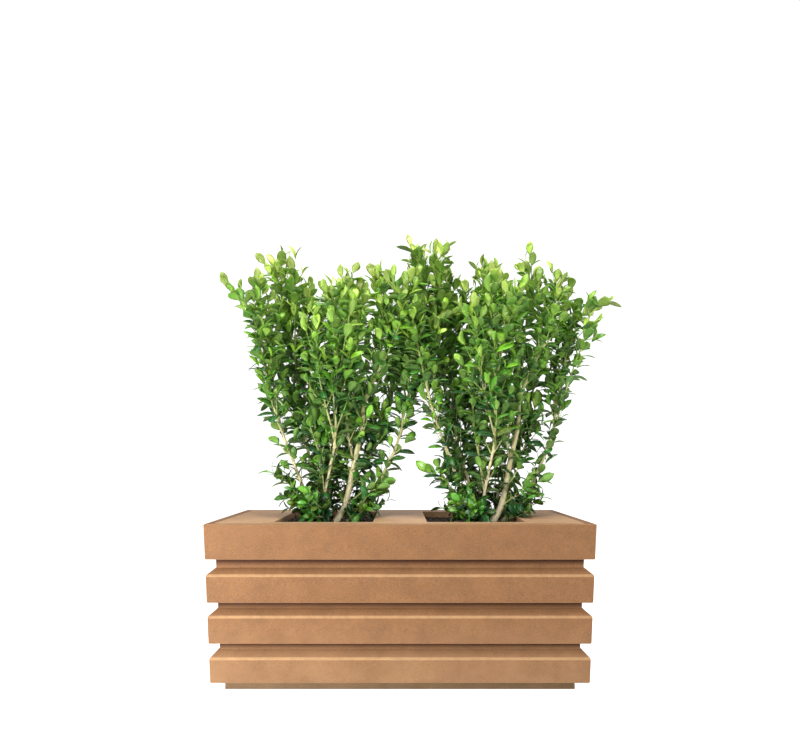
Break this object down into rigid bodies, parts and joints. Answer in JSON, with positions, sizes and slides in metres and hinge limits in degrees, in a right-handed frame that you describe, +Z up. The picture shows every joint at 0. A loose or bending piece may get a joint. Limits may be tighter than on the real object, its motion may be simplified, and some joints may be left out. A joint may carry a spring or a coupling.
{
  "type": "boxwood planter box",
  "caption": "Young boxwood shrubs growing in a rectangular planter of horizontal composite boards, for a patio, balcony or entrance.",
  "frame": {"origin": "centre of the plinth's underside, on the surface that the planter stands on", "axes": "+Z up; +X along the planter's length, to the right seen from the front; +Y to the back"},
  "size_m": [0.7108, 0.3, 0.7573],
  "materials": {
    "board": "matte",
    "carcass": "matte",
    "liner": "satin",
    "soil": "matte",
    "root_ball": "matte",
    "stem": "matte",
    "foliage": "satin"
  },
  "bodies": {
    "root": {"plinth": "carcass", "carcass_front": "carcass", "carcass_back": "carcass", "carcass_left": "carcass", "carcass_right": "carcass", "carcass_floor": "carcass", "rim_front": "board", "rim_back": "board", "rim_left": "board", "rim_right": "board", "upper_course_front": "board", "upper_course_back": "board", "upper_course_left": "board", "upper_course_right": "board", "middle_course_front": "board", "middle_course_back": "board", "middle_course_left": "board", "middle_course_right": "board", "lower_course_front": "board", "lower_course_back": "board", "lower_course_left": "board", "lower_course_right": "board", "liner": "liner", "soil": "soil", "left_plant_root_ball": "root_ball", "right_plant_root_ball": "root_ball", "deck_front_rail": "board", "deck_back_rail": "board", "deck_left_end": "board", "deck_right_end": "board", "deck_centre": "board", "left_plant_stem_left_outer": "stem", "left_plant_stem_left_inner": "stem", "left_plant_stem_centre_back": "stem", "left_plant_stem_centre_right": "stem", "left_plant_stem_centre_front": "stem", "left_plant_stem_right_outer": "stem", "left_plant_stem_right_back": "stem", "right_plant_stem_left_outer": "stem", "right_plant_stem_left_inner": "stem", "right_plant_stem_centre_back": "stem", "right_plant_stem_centre_right": "stem", "right_plant_stem_centre_front": "stem", "right_plant_stem_right_outer": "stem", "right_plant_stem_right_back": "stem", "left_plant_foliage_left_outer": "foliage", "left_plant_foliage_left_inner": "foliage", "left_plant_foliage_centre_back": "foliage", "left_plant_foliage_centre_right": "foliage", "left_plant_foliage_centre_front": "foliage", "left_plant_foliage_right_outer": "foliage", "left_plant_foliage_right_back": "foliage", "right_plant_foliage_left_outer": "foliage", "right_plant_foliage_left_inner": "foliage", "right_plant_foliage_centre_back": "foliage", "right_plant_foliage_centre_right": "foliage", "right_plant_foliage_centre_front": "foliage", "right_plant_foliage_right_outer": "foliage", "right_plant_foliage_right_back": "foliage"}
  },
  "joints": []
}
